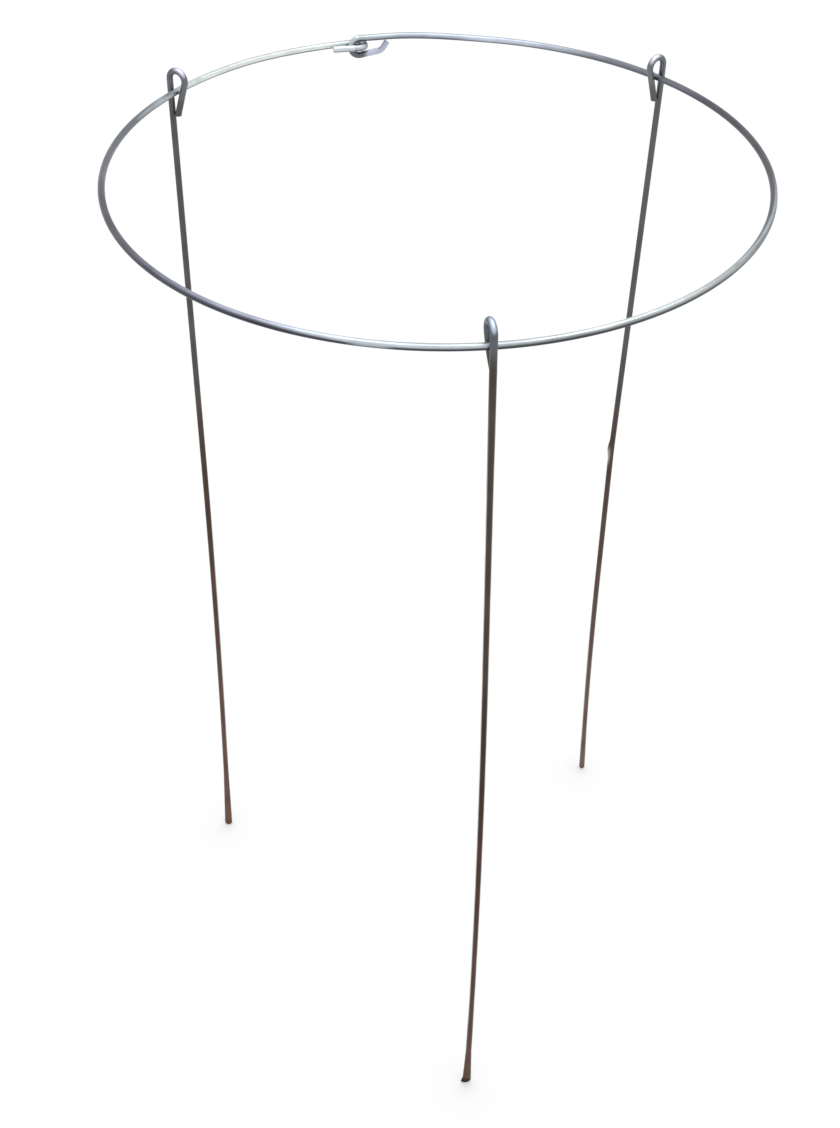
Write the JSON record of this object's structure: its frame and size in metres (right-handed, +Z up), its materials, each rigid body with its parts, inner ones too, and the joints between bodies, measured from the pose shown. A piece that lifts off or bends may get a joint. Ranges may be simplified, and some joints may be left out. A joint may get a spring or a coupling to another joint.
{
  "type": "grow through plant support",
  "caption": "Open wire hoop on straight wire legs that swing from crooks bent around it, closed at the back by a hook and eye; a plant grows up through it.",
  "frame": {"origin": "on the ground below the centre of the hoop, where the feet stand", "axes": "+Z up, +Y to the back where the hook and eye are, +X to the right"},
  "size_m": [0.3597, 0.3615, 0.608],
  "materials": {
    "hoop_wire": "bright drawn galvanised steel wire, satin, with cool reflections",
    "leg_wire": "galvanised steel wire, dulled warm grey brown down the shank, darker at the spade foot"
  },
  "bodies": {
    "hoop": {"ring_hoop": "hoop_wire"},
    "leg_left": {"leg_left": "leg_wire"},
    "leg_right": {"leg_right": "leg_wire"},
    "leg_front": {"leg_front": "leg_wire"}
  },
  "joints": [
    {"name": "leg_left_swing", "type": "hinge", "parent": "hoop", "child": "leg_left", "pos_m": [-0.15079, 0.09459, 0.59388], "axis": [-0.5314, -0.8471, 0], "range_deg": [-269.3, 85.7]},
    {"name": "leg_right_swing", "type": "hinge", "parent": "hoop", "child": "leg_right", "pos_m": [0.12954, 0.12208, 0.59388], "axis": [-0.6858, 0.7278, 0], "range_deg": [-267.5, 88.9]},
    {"name": "leg_front_swing", "type": "hinge", "parent": "hoop", "child": "leg_front", "pos_m": [0.02416, -0.17635, 0.59388], "axis": [0.9907, 0.1357, 0], "range_deg": [-269.7, 87.5]}
  ]
}
